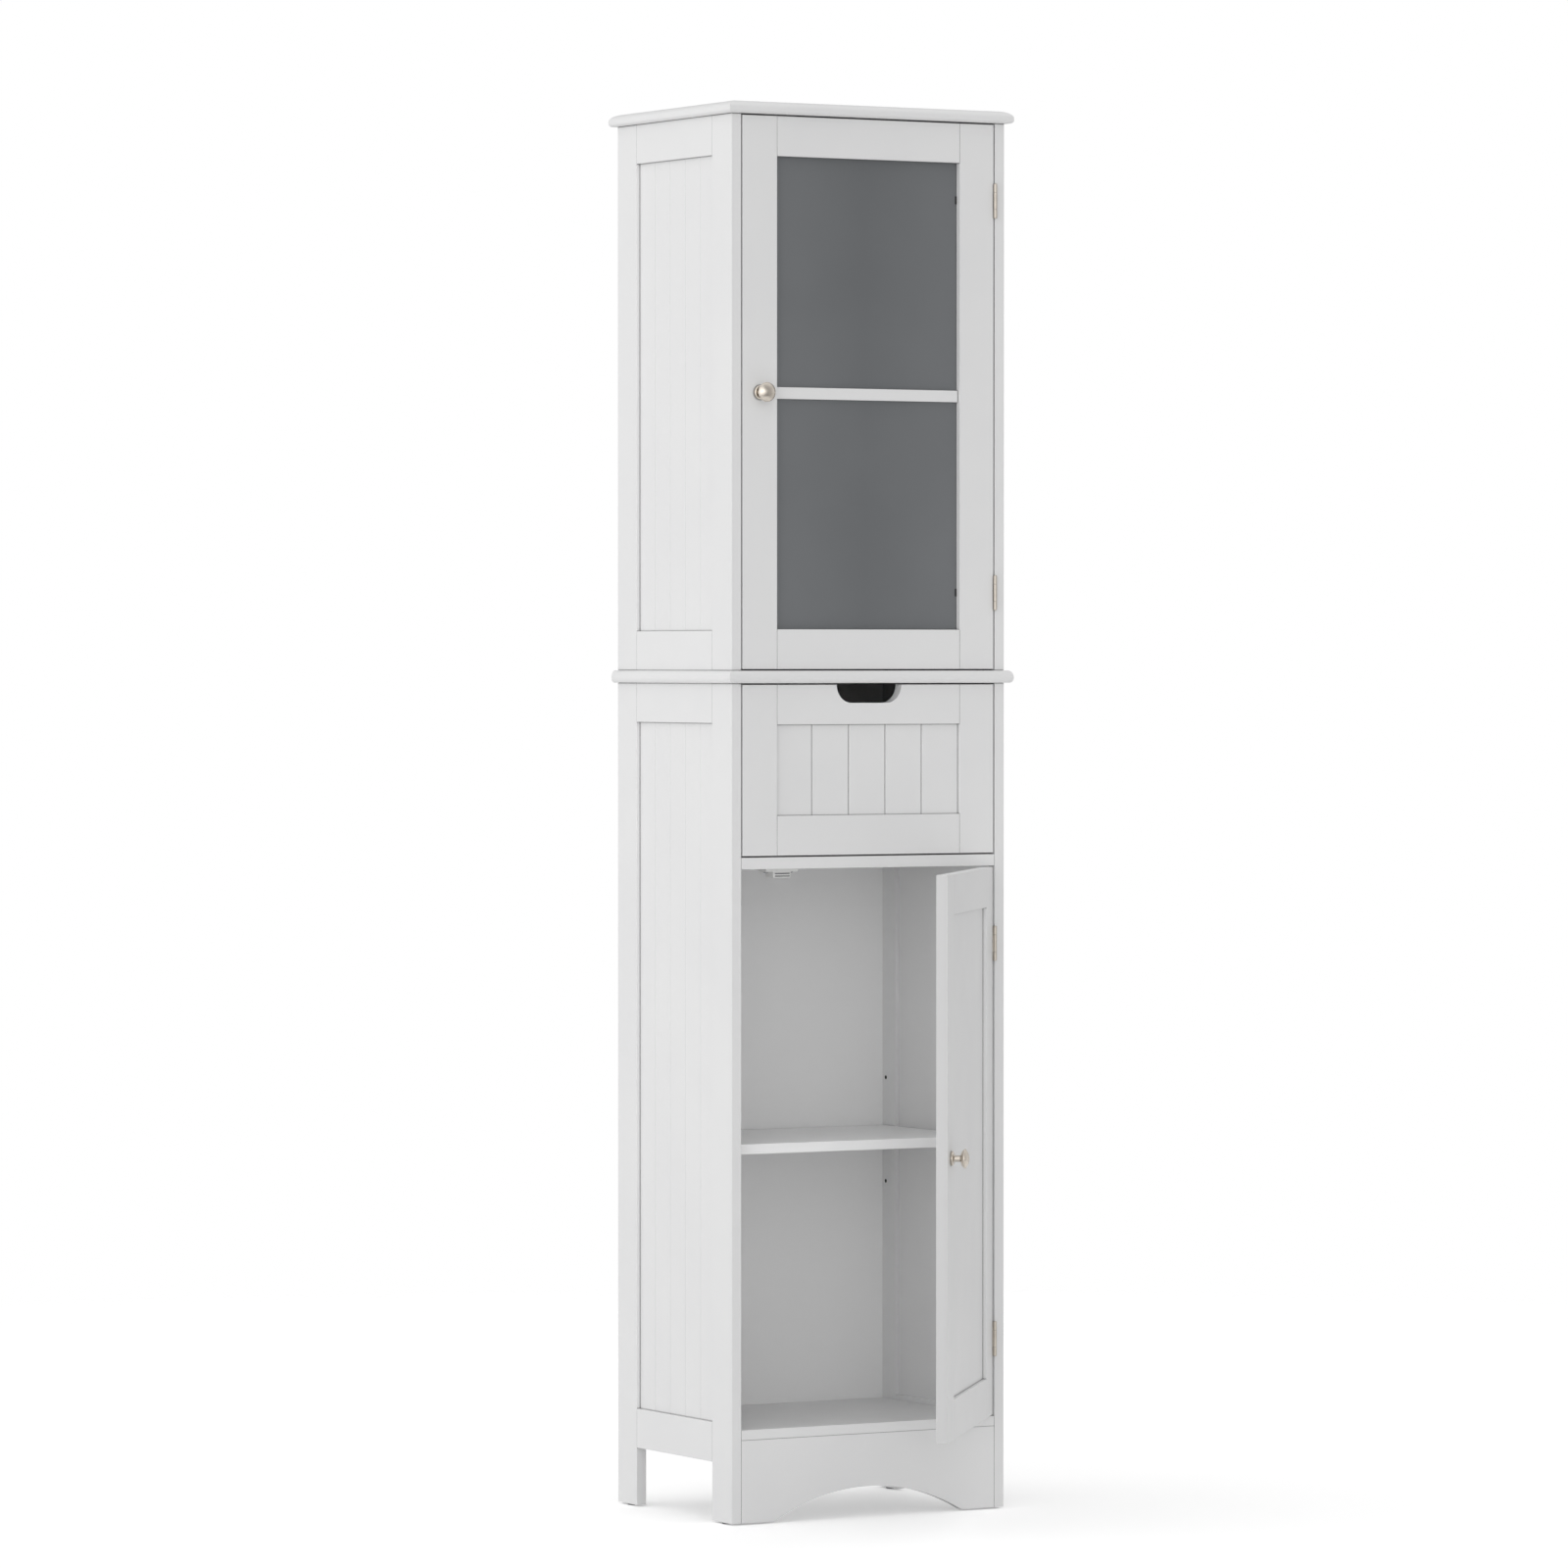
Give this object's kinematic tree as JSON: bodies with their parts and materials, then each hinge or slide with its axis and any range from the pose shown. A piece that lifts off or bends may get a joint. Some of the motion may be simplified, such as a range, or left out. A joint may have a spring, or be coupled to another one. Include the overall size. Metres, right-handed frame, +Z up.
{
  "type": "tall storage cabinet",
  "caption": "Tall slim free-standing cabinet in white painted board: frosted glass door above, beaded drawer with finger cut-out, framed door over shelved lower case, arched apron.",
  "frame": {"origin": "on the floor, under the centre of the carcass footprint (cap-board overhangs and the open door not counted)", "axes": "+X to the right as seen from the front, +Y to the back, +Z up; the doors and the drawer face -Y"},
  "size_m": [0.396, 0.5639, 1.6985],
  "materials": {
    "white_paint": "satin white lacquer on MDF",
    "bare_wood": "planed bare hardwood",
    "frosted_glass": "acid-etched grey glass",
    "satin_nickel": "warm satin nickel plate",
    "zinc_steel": "bright zinc plate",
    "pole_steel": "plain rolled steel",
    "white_plastic": "moulded matt white",
    "black_plastic": "moulded matt black",
    "glide_plastic": "moulded grey nylon"
  },
  "bodies": {
    "cabinet": {"bottom_board": "white_paint", "carcass_cam_bolts": "zinc_steel", "carcass_cams": "zinc_steel", "case_hinge_leaves": "satin_nickel", "case_screws": "zinc_steel", "catch_housings": "white_plastic", "catch_poles": "pole_steel", "drawer_divider": "white_paint", "drawer_runners": "bare_wood", "foot_glides": "glide_plastic", "frame_dowels": "bare_wood", "front_apron": "white_paint", "hinge_pins": "satin_nickel", "lower_back_panel": "white_paint", "lower_left_panel": "white_paint", "lower_left_rails": "white_paint", "lower_left_stiles": "white_paint", "lower_right_panel": "white_paint", "lower_right_rails": "white_paint", "lower_right_stiles": "white_paint", "lower_shelf": "white_paint", "shelf_pins": "zinc_steel", "top_board": "white_paint", "upper_back_panel": "white_paint", "upper_left_panel": "white_paint", "upper_left_rails": "white_paint", "upper_left_stiles": "white_paint", "upper_right_panel": "white_paint", "upper_right_rails": "white_paint", "upper_right_stiles": "white_paint", "upper_shelf": "white_paint", "waist_board": "white_paint"},
    "upper_door": {"upper_door_glass": "frosted_glass", "upper_door_glass_clips": "black_plastic", "upper_door_glass_pads": "black_plastic", "upper_door_hinge_leaves": "satin_nickel", "upper_door_knob": "satin_nickel", "upper_door_muntin": "white_paint", "upper_door_rails": "white_paint", "upper_door_screws": "zinc_steel", "upper_door_stiles": "white_paint", "upper_door_strike_plate": "pole_steel"},
    "lower_door": {"lower_door_hinge_leaves": "satin_nickel", "lower_door_knob": "satin_nickel", "lower_door_panel": "white_paint", "lower_door_rails": "white_paint", "lower_door_screws": "zinc_steel", "lower_door_stiles": "white_paint", "lower_door_strike_plate": "pole_steel"},
    "drawer": {"drawer_back": "white_paint", "drawer_back_screws": "zinc_steel", "drawer_bottom": "white_paint", "drawer_cam_bolts": "zinc_steel", "drawer_cams": "zinc_steel", "drawer_front_bottom_rail": "white_paint", "drawer_front_panel": "white_paint", "drawer_front_stiles": "white_paint", "drawer_front_top_rail": "white_paint", "drawer_left_side": "white_paint", "drawer_right_side": "white_paint"}
  },
  "joints": [
    {"name": "upper_door_hinge", "type": "hinge", "parent": "cabinet", "child": "upper_door", "pos_m": [0.1759, -0.1445, 1.35175], "axis": [0, 0, 1], "range_deg": [0, 110]},
    {"name": "lower_door_hinge", "type": "hinge", "parent": "cabinet", "child": "lower_door", "pos_m": [0.1759, -0.1445, 0.4482], "axis": [0, 0, 1], "range_deg": [-50, 60]},
    {"name": "drawer_slide", "type": "slide", "parent": "cabinet", "child": "drawer", "axis": [0, -1, 0], "range_m": [0, 0.19]}
  ]
}
